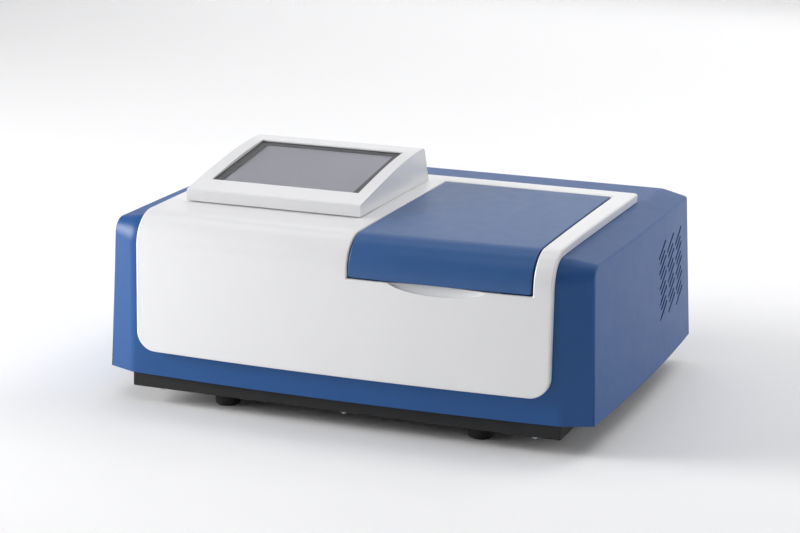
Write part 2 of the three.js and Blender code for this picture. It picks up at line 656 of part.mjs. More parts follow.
// A curved mirror on its own stand.
function mirrorStand({ x, y, facing }) {
  const width = 34;
  const body = cuboid(0, 0, (FLOOR + MONO.wall + MIRROR_TOP) / 2 + GAP / 2, width, 6,
    MIRROR_TOP - FLOOR - MONO.wall - GAP);
  const foot = cuboid(0, -4, FLOOR + MONO.wall + GAP + 2, width, 18, 4);
  const lens = new THREE.SphereGeometry(90, 28, 14);
  lens.translate(0, 91.4, BEAM_Z);
  const hollow = solid(lens).intersect(bar('y', 14, 20, 0, -2, BEAM_Z, 28));
  return placed(body.add(foot).subtract(hollow), x, y, facing);
}

function placed(shape, x, y, degrees) {
  const geometry = surface(shape);
  geometry.rotateZ(THREE.MathUtils.degToRad(degrees));
  geometry.translate(x, y, 0);
  return solid(geometry);
}

function filterWheel() {
  const y = MONO.rear + 5;
  let wheel = bar('y', 25, 3, ENTRY_X, y, FILTER_CENTRE_Z, 36);
  const holes = 6;
  for (let i = 0; i < holes; i++) {
    const angle = Math.PI / 2 + i * 2 * Math.PI / holes;
    wheel = wheel.subtract(bar('y', 5, 10, ENTRY_X + 17 * Math.cos(angle), y - 3,
      FILTER_CENTRE_Z + 17 * Math.sin(angle), 16));
  }
  return wheel.subtract(bar('y', 2.4, 10, ENTRY_X, y - 3, FILTER_CENTRE_Z, 16));
}

function filterMotor() {
  const y = MONO.rear + 10;
  const body = bar('y', 10, 18, ENTRY_X, y, FILTER_CENTRE_Z, 24);
  const shaft = bar('y', 2, 8, ENTRY_X, y - 6, FILTER_CENTRE_Z, 16);
  const stand = block(ENTRY_X - 8, ENTRY_X + 8, y + 2, y + 16, FLOOR, FILTER_CENTRE_Z - 4);
  return body.add(shaft).add(stand);
}

const LAMPS = { left: 34, right: 196, front: 88, rear: 147, top: 146, wall: 2.5 };

function lampHouse() {
  const { left, right, front, rear, top, wall } = LAMPS;
  const outside = block(left, right, front, rear, FLOOR, top);
  const inside = block(left + wall, right - wall, front + wall, rear - wall, FLOOR + wall, top + 5);
  const lightWay = cuboid(left, (front + rear) / 2, BEAM_Z, 12, 34, 24);
  const coolingHoles = [];
  for (const [x, y] of [[right, (front + rear) / 2], [FAN.x, rear]]) {
    coolingHoles.push(cuboid(x, y, BEAM_Z, 30, 30, 40));
  }
  return outside.subtract(inside).subtract(lightWay).subtract(wasm.Manifold.union(coolingHoles));
}

const TUNGSTEN = { x: 76, y: 108 };
const DEUTERIUM = { x: 140, y: 124 };
const SOURCE_MIRROR = { x: ENTRY_X, y: 118 };

function tungstenLamp() {
  const base = FLOOR + LAMPS.wall + GAP;
  const profile = [[0, 0], [9, 0], [9, 28], [5.5, 29], [5.5, 40], [3.2, 46.5], [0, 48]];
  return turned(profile, TUNGSTEN.x, TUNGSTEN.y, base, 24);
}

function deuteriumLamp() {
  const base = FLOOR + LAMPS.wall + GAP;
  const profile = [[0, 0], [18, 0], [18, 5], [14.5, 6], [14.5, 56], [9, 63], [0, 66]];
  return turned(profile, DEUTERIUM.x, DEUTERIUM.y, base, 28);
}

function sourceMirror() {
  const { x, y } = SOURCE_MIRROR;
  const plate = placed(cuboid(0, 0, BEAM_Z, 30, 5, 26), x, y, 45);
  const stem = bar('z', 3, 9, x, y, BEAM_Z - 20);
  const collar = bar('z', 7, 3, x, y, BEAM_Z - 20);
  return plate.add(stem).add(collar);
}

function steppingMotor(x, y, low, high) {
  return cuboid(x, y, (low + high) / 2, 28, 28, high - low);
}

const DETECTOR = { left: 178, right: 214, reach: 32, top: 142, wall: 3, boardX: 197 };

function detectorHousing() {
  const { left, right, reach, top, wall } = DETECTOR;
  const outside = block(left, right, BEAM_Y - reach, BEAM_Y + reach, FLOOR, top);
  const inside = block(left + wall, right + 5, BEAM_Y - reach + wall, BEAM_Y + reach - wall,
    FLOOR + wall, top - wall);
  return outside.subtract(inside).subtract(bar('x', 8, 20, left - 10, BEAM_Y, BEAM_Z));
}

// ---------- cooling fan ----------
const FAN_FRONT = HOUSING_BACK - HOUSING_WALL - GAP - FAN.depth;

function fanFrame() {
  const half = FAN.size / 2;
  const outline = roundedRect(FAN.x - half, FAN.x + half, FAN.z - half, FAN.z + half,
    [4, 4, 4, 4], 3);
  const body = solid(alongY(outline, FAN_FRONT, FAN_FRONT + FAN.depth));
  const bore = bar('y', half - 2.5, FAN.depth + 4, FAN.x, FAN_FRONT - 2, FAN.z, 32);
  let frame = body.subtract(bore);
  frame = frame.add(bar('y', FAN.hub, 3, FAN.x, FAN_FRONT, FAN.z, 24));
  for (let i = 0; i < 3; i++) {
    const strut = new THREE.BoxGeometry(half, 3, 3.4);
    strut.translate(half / 2, 0, 0);
    strut.rotateY(2 * Math.PI * (i / 3) + 0.5);
    strut.translate(FAN.x, FAN_FRONT + 1.5, FAN.z);
    frame = frame.add(solid(strut));
  }
  return frame;
}

function fanRotor() {
  const y = FAN_FRONT + 4;
  let rotor = bar('y', FAN.hub, FAN.depth - 6, FAN.x, y, FAN.z, 28);
  const blades = 7;
  for (let i = 0; i < blades; i++) {
    const reach = FAN.size / 2 - 4.5;
    const blade = new THREE.BoxGeometry(reach - FAN.hub + 2, FAN.depth - 8, 1.4);
    blade.rotateX(0.7);
    blade.translate((reach + FAN.hub) / 2 - 1, 0, 0);
    blade.rotateY(2 * Math.PI * (i / blades));
    blade.translate(FAN.x, y + (FAN.depth - 6) / 2, FAN.z);
    rotor = rotor.add(solid(blade));
  }
  return rotor;
}

const REAR_FACE = 180;           // the rear fittings all stand to this plane
const PAST_REAR = 190;           // beyond every rear fitting, for cutting shapes

function fanGuard() {
  const low = HOUSING_BACK + GAP;
  const thick = REAR_FACE - low;
  const ring = (outer, inner, y, depth) => bar('y', outer, depth, FAN.x, y, FAN.z, 36)
    .subtract(bar('y', inner, depth + 2, FAN.x, y - 1, FAN.z, 36));
  let guard = bar('y', 7, thick - 1, FAN.x, low, FAN.z, 24);
  for (const radius of [13, 20, 27]) {
    guard = guard.add(ring(radius + 1, radius - 1, low, thick));
  }
  for (let i = 0; i < 4; i++) {
    const spoke = new THREE.BoxGeometry(33, thick - 1, 2.4);
    spoke.translate(33 / 2 + 4, 0, 0);
    spoke.rotateY(Math.PI / 4 + i * Math.PI / 2);
    spoke.translate(FAN.x, low + (thick - 1) / 2, FAN.z);
    guard = guard.add(solid(spoke));
  }
  return guard;
}

// ---------- rear sockets ----------
const SOCKET = { width: 24.6, height: 16.6, z: INLET.z + 8 };
const FUSE_Z = INLET.z - 12.5;

function powerInlet() {
  const low = HOUSING_BACK + GAP;
  const flange = cuboid(INLET.x, (low + REAR_FACE) / 2, INLET.z, 36, REAR_FACE - low, 48);
  const barrel = block(INLET.x - 14.4, INLET.x + 14.4, 152, low + 1, INLET.z - 20.4,
    INLET.z + 20.4);
  const cavity = block(INLET.x - SOCKET.width / 2, INLET.x + SOCKET.width / 2, 162, PAST_REAR,
    SOCKET.z - SOCKET.height / 2, SOCKET.z + SOCKET.height / 2);
  const drawerSlot = block(INLET.x - 11.4, INLET.x + 11.4, 156, PAST_REAR, FUSE_Z - 5, FUSE_Z + 5);
  let body = flange.add(barrel).subtract(cavity).subtract(drawerSlot);
  for (const [dx, dz] of [[-7, -4.4], [7, -4.4], [0, -1.6]]) {
    body = body.add(cuboid(INLET.x + dx, 169, SOCKET.z + dz, 2, 16, 4.4));
  }
  return body;
}

function fuseDrawer() {
  const body = block(INLET.x - 11, INLET.x + 11, 157, REAR_FACE - 0.6, FUSE_Z - 4.6, FUSE_Z + 4.6);
  const fuseBed = block(INLET.x - 8, INLET.x + 8, 160, 172, FUSE_Z - 1.5, FUSE_Z + 8);
  const nailSlot = block(INLET.x - 4, INLET.x + 4, REAR_FACE - 1.8, REAR_FACE + 5,
    FUSE_Z + 3, FUSE_Z + 8);
  return body.subtract(fuseBed).subtract(nailSlot);
}

function rockerFrame() {
  const low = HOUSING_BACK + GAP;
  const flange = cuboid(ROCKER.x, low + 0.9, ROCKER.z, 23, 1.8, 17);
  const body = block(ROCKER.x - 9.6, ROCKER.x + 9.6, 161, low + 1, ROCKER.z - 6.6, ROCKER.z + 6.6);
  const well = block(ROCKER.x - 8.3, ROCKER.x + 8.3, 165, PAST_REAR, ROCKER.z - 5.2, ROCKER.z + 5.2);
  return flange.add(body).subtract(well);
}

const ROCKER_AXIS_Y = 174;

// Its outline about the axis: the left end stands out and the right end is pressed in.
function powerRocker() {
  const profile = [point(-6.6, -2), point(6.6, -2), point(6.6, 1.9), point(0, 3.2),
    point(-6.4, 5.3)];
  const shape = new THREE.ExtrudeGeometry(new THREE.Shape(profile),
    { depth: 9.6, bevelEnabled: false });
  shape.translate(0, 0, -4.8);
  shape.translate(ROCKER.x, ROCKER_AXIS_Y, ROCKER.z);
  return solid(shape);
}

function usbPort() {
  const shell = block(USB.x - 6, USB.x + 6, 163, REAR_FACE - 0.4, USB.z - 5.5, USB.z + 5.5);
  const mouth = block(USB.x - 4.3, USB.x + 4.3, 169, PAST_REAR, USB.z - 4, USB.z + 4);
  const tongue = block(USB.x - 2.8, USB.x + 2.8, 168, 178, USB.z - 1.6, USB.z + 1.6);
  return shell.subtract(mouth).add(tongue);
}

function serialPort() {
  const flange = cuboid(SERIAL.x, HOUSING_BACK + GAP + 0.5, SERIAL.z, 31, 1, 12.6);
  const wide = 8.6;
  const narrow = 7.2;
  const half = 4;
  const dee = [point(SERIAL.x - narrow, SERIAL.z - half), point(SERIAL.x + narrow, SERIAL.z - half),
    point(SERIAL.x + wide, SERIAL.z + half), point(SERIAL.x - wide, SERIAL.z + half)];
  const nose = solid(alongY(dee, 166, REAR_FACE - 0.2));
  return flange.add(nose);
}

// ---------- electronics ----------
const SUPPLY = { left: -172, right: -72, front: -20, rear: 132, top: 56 };
const BOARD = { left: -50, right: 160, reach: 110, standoff: 5, sheet: 1.6, inset: 6 };

function powerSupply() {
  const can = block(SUPPLY.left, SUPPLY.right, SUPPLY.front, SUPPLY.rear, TRAY_FLOOR, SUPPLY.top);
  const slots = [];
  for (let i = 0; i < 8; i++) {
    slots.push(cuboid(SUPPLY.right, i * 16, 38, 6, 4, 22));
  }
  return can.subtract(wasm.Manifold.union(slots));
}

function mainBoard() {
  const { left, right, reach, standoff, sheet, inset } = BOARD;
  const bottom = TRAY_FLOOR + standoff;
  let board = block(left, right, -reach, reach, bottom, bottom + sheet);
  const chips = [[0, -60, 40, 40, 3], [70, -60, 24, 34, 6], [120, 20, 30, 18, 12],
    [10, 60, 50, 10, 9], [70, 40, 18, 18, 2.4]];
  for (const [x, y, width, depth, height] of chips) {
    board = board.add(cuboid(x, y, bottom + 1 + height / 2, width, depth, height));
  }
  for (const x of [left + inset, right - inset]) {
    for (const y of [inset - reach, reach - inset]) {
      board = board.add(bar('z', 3, standoff + 0.5, x, y, TRAY_FLOOR, 12));
    }
  }
  return board;
}

// ---------- assembly ----------
const instrument = new THREE.Group();

function add(name, shape, material) {
  const mesh = new THREE.Mesh(surface(shape), material);
  mesh.name = name;
  instrument.add(mesh);
}

add('base_tray', baseTray(), BLACK_METAL);
for (const [place, y] of [['front', FOOT_FRONT_Y], ['rear', FOOT_REAR_Y]]) {
  add(`foot_${place}_left`, rubberFoot(-FOOT_X, y), RUBBER);
  add(`foot_${place}_right`, rubberFoot(FOOT_X, y), RUBBER);
}
for (const [place, x] of Object.entries(TRAY_SCREW_X)) {
  add(`tray_screw_${place}`, trayScrew(x), STEEL);
}

add('housing_shell', housingShell(), BLUE);
add('front_fascia', frontFascia(), WHITE);
add('sample_lid', sampleLid(), BLUE);
add('lid_liner', block(LINER.left, LINER.right, LINER.front, LINER.rear, HOUSING_TOP + 1.9,
  FASCIA_TOP - LID_WALL - 0.9), BLACK_PLASTIC);
const PIN_REACH = 7.2;           // how far each hinge pin stands out of the lid
add('hinge_pin_left', hingePin(LID_LEFT - PIN_REACH), STEEL);
add('hinge_pin_right', hingePin(LID_RIGHT + PIN_REACH - HINGE_PIN_LENGTH), STEEL);
add('hinge_bracket_left', hingeBracket(LID_LEFT - 8, LID_LEFT - 2.2), STEEL);
add('hinge_bracket_right', hingeBracket(LID_RIGHT + 2.2, LID_RIGHT + 8), STEEL);

add('sample_compartment', sampleCompartment(), BLACK_PLASTIC);
add('compartment_seal', compartmentSeal(), FOAM);
add('cell_carriage', cellCarriage(), ANODISED);
const RAIL_LENGTH = TUB.rear - TUB.front - 2 * TUB.wall - 2 * GAP;
add('carriage_rail', bar('y', CARRIAGE.rodRadius, RAIL_LENGTH, CARRIAGE.railX,
  TUB.front + TUB.wall + GAP, CARRIAGE.rodZ), STEEL);
add('carriage_screw', bar('y', CARRIAGE.rodRadius, RAIL_LENGTH + 6, CARRIAGE.screwX,
  TUB.front + TUB.wall + GAP, CARRIAGE.rodZ), STEEL);
add('carriage_motor', cuboid(CARRIAGE.screwX, CARRIAGE.motorY, CARRIAGE.rodZ, 28, 28, 28), BLACK_METAL);
add('beam_lens_entry', beamLens(TUB.left - 6), GLASS);
add('beam_lens_exit', beamLens(TUB.right + 3), GLASS);

add('optical_bench', opticalBench(), ALUMINIUM);
add('monochromator_box', monochromatorBox(), ANODISED);
add('monochromator_cover', block(MONO.left, MONO.right, MONO.front, MONO.rear,
  MONO.top + GAP, MONO.top + 3), ANODISED);
add('grating_motor', steppingMotor(GRATING.x, GRATING.y, FLOOR + MONO.wall + GAP, GRATING.z - 0.4),
  BLACK_METAL);
add('grating_turntable', gratingTurntable(), ALUMINIUM);
add('diffraction_grating', placed(cuboid(0, 0, BEAM_Z + 0.3, 26, 8, 21), GRATING.x, GRATING.y, 20),
  MIRROR);
add('collimating_mirror', mirrorStand(COLLIMATOR), MIRROR);
add('focusing_mirror', mirrorStand(FOCUSER), MIRROR);
add('filter_wheel', filterWheel(), ANODISED);
add('filter_motor', filterMotor(), BLACK_METAL);
add('lamp_house', lampHouse(), ALUMINIUM);
add('tungsten_lamp', tungstenLamp(), GLASS);
add('deuterium_lamp', deuteriumLamp(), GLASS);
add('source_mirror', sourceMirror(), MIRROR);
add('source_mirror_motor', steppingMotor(SOURCE_MIRROR.x, SOURCE_MIRROR.y, FLOOR, BEAM_Z - 20.4),
  BLACK_METAL);
add('detector_housing', detectorHousing(), ALUMINIUM);
add('photodetector', bar('x', 8, 12, DETECTOR.left + 6, BEAM_Y, BEAM_Z), STEEL);
add('detector_board', block(DETECTOR.boardX, DETECTOR.boardX + BOARD.sheet, BEAM_Y - 27,
  BEAM_Y + 27, FLOOR + 4, DETECTOR.top - 5), CIRCUIT);

add('power_supply', powerSupply(), ALUMINIUM);
add('main_board', mainBoard(), CIRCUIT);
add('fan_frame', fanFrame(), BLACK_PLASTIC);
add('fan_rotor', fanRotor(), BLACK_PLASTIC);
add('fan_guard', fanGuard(), BLACK_METAL);
add('power_inlet', powerInlet(), BLACK_PLASTIC);
add('fuse_drawer', fuseDrawer(), BLACK_PLASTIC);
add('rocker_frame', rockerFrame(), BLACK_PLASTIC);
add('power_rocker', powerRocker(), BLACK_PLASTIC);
add('usb_port', usbPort(), STEEL);
add('serial_port', serialPort(), STEEL);

add('console_housing', consoleHousing(), WHITE);
add('touch_glass', screenLayer(GLASS_WIDTH, GLASS_DEPTH, -1, 0), GLASS);
add('display_bezel', displayBezel(), BEZEL_GREY);
add('lcd_panel', screenLayer(SCREEN_WIDTH - 6, SCREEN_DEPTH - 4, -6, -2.3), SCREEN_GREY);
add('display_board', screenLayer(SCREEN_WIDTH - 30, SCREEN_DEPTH - 24, -9.5, -7.9), CIRCUIT);

export default instrument;
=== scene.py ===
"""Looks of the benchtop spectrophotometer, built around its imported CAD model.

Metres, +X right, +Y to the back, +Z up. The housing, fascia, sample lid and console are built
again here as fine surfaces on the CAD's own curves; every other CAD node keeps its shape and
gets soft edges and a procedural material.
"""
import json
import math

import bmesh
import bpy
from mathutils import Matrix, Vector


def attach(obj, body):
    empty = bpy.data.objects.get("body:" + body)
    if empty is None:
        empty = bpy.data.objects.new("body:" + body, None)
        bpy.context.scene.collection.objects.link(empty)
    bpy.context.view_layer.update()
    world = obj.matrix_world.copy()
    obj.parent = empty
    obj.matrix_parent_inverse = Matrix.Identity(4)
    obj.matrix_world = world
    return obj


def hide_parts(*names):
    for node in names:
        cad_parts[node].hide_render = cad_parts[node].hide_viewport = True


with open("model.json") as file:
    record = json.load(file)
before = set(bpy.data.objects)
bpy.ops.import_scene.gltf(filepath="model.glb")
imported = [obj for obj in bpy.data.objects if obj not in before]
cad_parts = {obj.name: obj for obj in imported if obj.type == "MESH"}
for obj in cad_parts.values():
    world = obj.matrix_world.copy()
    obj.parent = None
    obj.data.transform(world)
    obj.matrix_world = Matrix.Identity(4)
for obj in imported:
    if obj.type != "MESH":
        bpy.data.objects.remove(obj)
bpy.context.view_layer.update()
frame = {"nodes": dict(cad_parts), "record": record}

NODES = frame["nodes"]
MM = 0.001

# ---------- driving dimensions, in millimetres, as in the CAD ----------
HOUSING_BOTTOM = 28.5
HOUSING_TOP = 173.1
HOUSING_FRONT = -171.8
HOUSING_BACK = 177
HOUSING_WALL = 2.2
CREASE_X = 204.4
WING_FRONT_Y = -152.6
SIDE_BULGE = (239.6, 70.7)
SIDE_FRONT_X = 231.7
SIDE_TOP_BULGE = (230, 60)
SIDE_TOP_FRONT_X = 226.5
SIDE_TOP_Z = (168.8, 167)
SIDE_CORNER_RADIUS = 13
FASCIA_HALF = 195.6
FASCIA_REAR_HALF = 198.2
FASCIA_FLARE_Y = -90
FASCIA_PROUD = 8.2
FASCIA_WALL = 2.8
FASCIA_BOTTOM = 53.1
FASCIA_REAR = 103.5
FASCIA_TOP = HOUSING_TOP + FASCIA_PROUD
FASCIA_FRONT = HOUSING_FRONT - FASCIA_PROUD
FRONT_BOW = 7
BOW_FULL_Y = -145                                       # the bow is whole in front of this
BOW_NONE_Y = -45                                        # and gone behind this
ROLL_RADIUS = 30
HOUSING_ROLL_RADIUS = ROLL_RADIUS - FASCIA_PROUD
CROWN_RADIUS = 10000
CROWN_START_Y = 0
LID = {"left": 12.9, "right": 177.5, "rear": 77.1, "bottom": 144.6, "wall": 3, "gap": 1.3}
SCOOP = {"x": 95.4, "half": 46.6, "drop": 9.4, "depth": 5.2}
CONSOLE = {"left": -176.1, "right": -4.6, "front": -107.3, "rear": 75.9, "lip": 192.6,
           "crest_y": 57, "crest_z": 215.6, "wall": 2.5}
CROWN_HANDLES = ((-47.6, 203.8), (8, 214.6))            # pull points of the console's top curve
SCREEN = {"left": -163.1, "right": -16.8, "front": -80.6, "rear": 37.1, "rise": 17.1, "z": 204.5}
VENT = {"columns": 3, "rows": 9, "first_y": 55, "pitch_y": 32.2, "low_z": 71.9, "pitch_z": 7.28,
        "long": 30.5, "short": 21.5, "width": 3, "tilt": math.radians(26)}
FITTING_Z = 75                                          # height of the sockets on the back
REAR_OPENINGS = {"inlet": (-150, 30, 42), "rocker": (-197, 19.8, 13.8), "usb": (-85, 12.6, 11.6),
                 "serial": (-40, 20, 11.4)}             # place along X, width and height
FAN = {"x": 100, "z": 106, "radius": 27}


# ---------- mesh helpers ----------
def new_object(name, bm, smooth=True):
    """A mesh object from a bmesh whose places are in millimetres."""
    bmesh.ops.scale(bm, vec=(MM, MM, MM), verts=bm.verts)
    bmesh.ops.recalc_face_normals(bm, faces=bm.faces)
    mesh = bpy.data.meshes.new(name)
    bm.to_mesh(mesh)
    bm.free()
    for polygon in mesh.polygons:
        polygon.use_smooth = smooth
    piece = bpy.data.objects.new(name, mesh)
    bpy.context.scene.collection.objects.link(piece)
    return piece


def apply_modifiers(piece):
    graph = bpy.context.evaluated_depsgraph_get()
    finished = bpy.data.meshes.new_from_object(piece.evaluated_get(graph))
    piece.modifiers.clear()
    piece.data = finished


def cut(piece, cutters, operation="DIFFERENCE"):
    """Boolean of a piece with throw-away objects."""
    for cutter in cutters:
        boolean = piece.modifiers.new("cut", "BOOLEAN")
        boolean.operation = operation
        boolean.solver = "MANIFOLD"
        boolean.object = cutter
    apply_modifiers(piece)
    for cutter in cutters:
        bpy.data.objects.remove(cutter)


def soften(piece, width, segments=3, angle=32):
    """Rounds the sharp edges, and evens the normals of the large faces."""
    bevel = piece.modifiers.new("soft_edges", "BEVEL")
    bevel.width = width * MM
    bevel.segments = segments
    bevel.limit_method = "ANGLE"
    bevel.angle_limit = math.radians(angle)
    bevel.miter_outer = "MITER_ARC"
    bevel.harden_normals = False
    normals = piece.modifiers.new("even_normals", "WEIGHTED_NORMAL")
    normals.keep_sharp = True
    normals.weight = 80


def box_object(name, low, high):
    bm = bmesh.new()
    bmesh.ops.create_cube(bm, size=1)
    size = [high[i] - low[i] for i in range(3)]
    middle = [(high[i] + low[i]) / 2 for i in range(3)]
    bmesh.ops.scale(bm, vec=size, verts=bm.verts)
    bmesh.ops.translate(bm, vec=middle, verts=bm.verts)
    return new_object(name, bm, smooth=False)


def prism_object(name, outline, x0, x1):
    """A closed (y, z) outline carried along X."""
    bm = bmesh.new()
    left = [bm.verts.new((x0, y, z)) for y, z in outline]
    right = [bm.verts.new((x1, y, z)) for y, z in outline]
    count = len(outline)
    bm.faces.new(left)
    bm.faces.new(right[::-1])
    for i in range(count):
        j = (i + 1) % count
        bm.faces.new((left[i], right[i], right[j], left[j]))
    return new_object(name, bm)


def bow_at(x):
    return FRONT_BOW * (x / FASCIA_HALF) ** 2


def bow_share(y):
    """1 on the front, 0 on the flat of the top."""
    return min(max((BOW_NONE_Y - y) / (BOW_NONE_Y - BOW_FULL_Y), 0), 1)


# ---------- the curve over the front and top ----------
SPREAD = CROWN_RADIUS - ROLL_RADIUS
SLOPE = math.asin((CROWN_START_Y - FASCIA_FRONT - ROLL_RADIUS) / SPREAD)
ROLL_Y = FASCIA_FRONT + ROLL_RADIUS
ROLL_Z = FASCIA_TOP - CROWN_RADIUS + SPREAD * math.cos(SLOPE)
ROLL_START = ROLL_Z - FASCIA_BOTTOM                     # lengths along the curve
CROWN_START = ROLL_START + ROLL_RADIUS * (math.pi / 2 - SLOPE)
FLAT_START = CROWN_START + CROWN_RADIUS * SLOPE
CURVE_END = FLAT_START + FASCIA_REAR - CROWN_START_Y


def over_top(x, s, inset):
    """The point at x and at length s from the fascia's lower edge, sunk by an inset."""
    if s <= ROLL_START:
        y = FASCIA_FRONT + inset
        z = FASCIA_BOTTOM + s
    elif s <= CROWN_START:
        angle = math.pi - (s - ROLL_START) / ROLL_RADIUS
        y = ROLL_Y + (ROLL_RADIUS - inset) * math.cos(angle)
        z = ROLL_Z + (ROLL_RADIUS - inset) * math.sin(angle)
    elif s <= FLAT_START:
        angle = math.pi / 2 + SLOPE - (s - CROWN_START) / CROWN_RADIUS
        y = CROWN_START_Y + (CROWN_RADIUS - inset) * math.cos(angle)
        z = FASCIA_TOP - CROWN_RADIUS + (CROWN_RADIUS - inset) * math.sin(angle)
    else:
        y = CROWN_START_Y + s - FLAT_START
        z = FASCIA_TOP - inset
    return Vector((x, y + bow_share(y) * bow_at(x), z))


def length_at_y(y):
    """Length along the curve of a place on the flat top."""
    return FLAT_START + y - CROWN_START_Y


def rounded_outline(x0, x1, s0, s1, radii, steps):
    """Corner points anticlockwise from the low-left; radii in the same order."""
    corners = [(x0, s0, 1, 1, math.pi), (x1, s0, -1, 1, 1.5 * math.pi),
               (x1, s1, -1, -1, 0), (x0, s1, 1, -1, 0.5 * math.pi)]
    points = []
    for (cx, cs, dx, ds, start), radius in zip(corners, radii):
        if radius == 0:
            points.append((cx, cs))
            continue
        for i in range(steps + 1):
            angle = start + math.pi / 2 * i / steps
            points.append((cx + dx * radius + radius * math.cos(angle),
                           cs + ds * radius + radius * math.sin(angle)))
    return points


def flat_sheet(outline):
    bm = bmesh.new()
    bm.edges.layers.float.new("bevel_weight_edge")
    bm.faces.new([bm.verts.new((x, s, 0)) for x, s in outline])
    return bm


def grid_lines(bm, xs, ss):
    """Cuts a flat sheet along lines of constant x and constant s."""
    for axis, places in ((0, xs), (1, ss)):
        for place in places:
            middle = [0, 0, 0]
            middle[axis] = place
            normal = [0, 0, 0]
            normal[axis] = 1
            everything = list(bm.verts) + list(bm.edges) + list(bm.faces)
            bmesh.ops.bisect_plane(bm, geom=everything, plane_co=middle, plane_no=normal,
                                   dist=1e-5)


def spaced(start, end, count):
    return [start + (end - start) * i / count for i in range(count + 1)]


def curve_stations():
    """Places along the curve where the rolled sheets need edges."""
    stations = spaced(ROLL_START, CROWN_START, 14)
    stations += spaced(CROWN_START, FLAT_START, 10)[1:]
    stations += spaced(FLAT_START, CURVE_END, 12)[1:-1]
    return stations


def rolled(bm, name, inset_at, edge_mm, x_at=lambda x, s: x):
    """Rolls a flat sheet over the curve, gives it thickness and rounds its outer edges."""
    weight = bm.edges.layers.float["bevel_weight_edge"]
    flat = {v: (v.co.x, v.co.y) for v in bm.verts}
    rims = [e for e in bm.edges if len(e.link_faces) == 1]
    corners = [v for v in flat if turns_sharply(v)]
    inner = {}
    for v, (x, s) in flat.items():
        inner[v] = bm.verts.new(over_top(x_at(x, s), s, inset_at(x, s)))
        v.co = over_top(x_at(x, s), s, 0)
    for face in list(bm.faces):
        if all(v in inner for v in face.verts):
            bm.faces.new([inner[v] for v in reversed(face.verts)])
    for edge in rims:
        a, b = edge.verts
        bm.faces.new((a, b, inner[b], inner[a]))
        edge[weight] = 1
        bm.edges.get((inner[a], inner[b]))[weight] = 0.2
    for v in corners:
        bm.edges.get((v, inner[v]))[weight] = 0.7
    piece = new_object(name, bm)
    bevel = piece.modifiers.new("round_rim", "BEVEL")
    bevel.width = edge_mm * MM
    bevel.segments = 4
    bevel.limit_method = "WEIGHT"
    bevel.use_clamp_overlap = False
    apply_modifiers(piece)
    return piece


def turns_sharply(v):
    """Whether the sheet's rim turns a sharp corner at a point."""
    rim = [e for e in v.link_edges if len(e.link_faces) == 1]
    if len(rim) != 2:
        return False
    one, two = (e.other_vert(v).co - v.co for e in rim)
    return one.angle(-two) > math.radians(35)


def even_normals(piece, angle=30):
    """Smooth shading that keeps the sharp edges and the large faces even."""
    for polygon in piece.data.polygons:
        polygon.use_smooth = True
    piece.data.set_sharp_from_angle(angle=math.radians(angle))
    normals = piece.modifiers.new("even_normals", "WEIGHTED_NORMAL")
    normals.keep_sharp = True
    normals.weight = 80


# ---------- procedural materials ----------
def link(tree, source, target):
    tree.links.new(source, target)


def node(tree, kind, **inputs):
    made = tree.nodes.new(kind)
    for key, value in inputs.items():
        made.inputs[key].default_value = value
    return made


def blend_colours(tree, factor, low, high):
    """A colour that runs from low to high with a factor socket."""
    mix = tree.nodes.new("ShaderNodeMix")
    mix.data_type = "RGBA"
    link(tree, factor, mix.inputs["Factor"])
    mix.inputs["A"].default_value = (*low, 1)
    mix.inputs["B"].default_value = (*high, 1)
    return mix.outputs["Result"]


def ranged(tree, value, from_low, from_high, to_low, to_high):
    mapped = tree.nodes.new("ShaderNodeMapRange")
    link(tree, value, mapped.inputs["Value"])
    mapped.inputs["From Min"].default_value = from_low
    mapped.inputs["From Max"].default_value = from_high
    mapped.inputs["To Min"].default_value = to_low
    mapped.inputs["To Max"].default_value = to_high
    return mapped.outputs["Result"]


def noise_at(tree, size_mm, detail=2.0, stretch=(1, 1, 1)):
    """Noise whose features are about size_mm across, in the piece's own space."""
    place = tree.nodes.new("ShaderNodeTexCoord")
    mapping = tree.nodes.new("ShaderNodeMapping")
    mapping.inputs["Scale"].default_value = stretch
    link(tree, place.outputs["Object"], mapping.inputs["Vector"])
    made = tree.nodes.new("ShaderNodeTexNoise")
    made.inputs["Scale"].default_value = 1 / (size_mm * MM)
    made.inputs["Detail"].default_value = detail
    link(tree, mapping.outputs["Vector"], made.inputs["Vector"])
    return made.outputs["Fac"]


def bumped(tree, height, distance_mm, strength):
    bump = tree.nodes.new("ShaderNodeBump")
    bump.inputs["Distance"].default_value = distance_mm * MM
    bump.inputs["Strength"].default_value = strength
    link(tree, height, bump.inputs["Height"])
    return bump.outputs["Normal"]


def shader(name):
    material = bpy.data.materials.new(name)
    material.use_nodes = True
    tree = material.node_tree
    return material, tree, tree.nodes["Principled BSDF"]


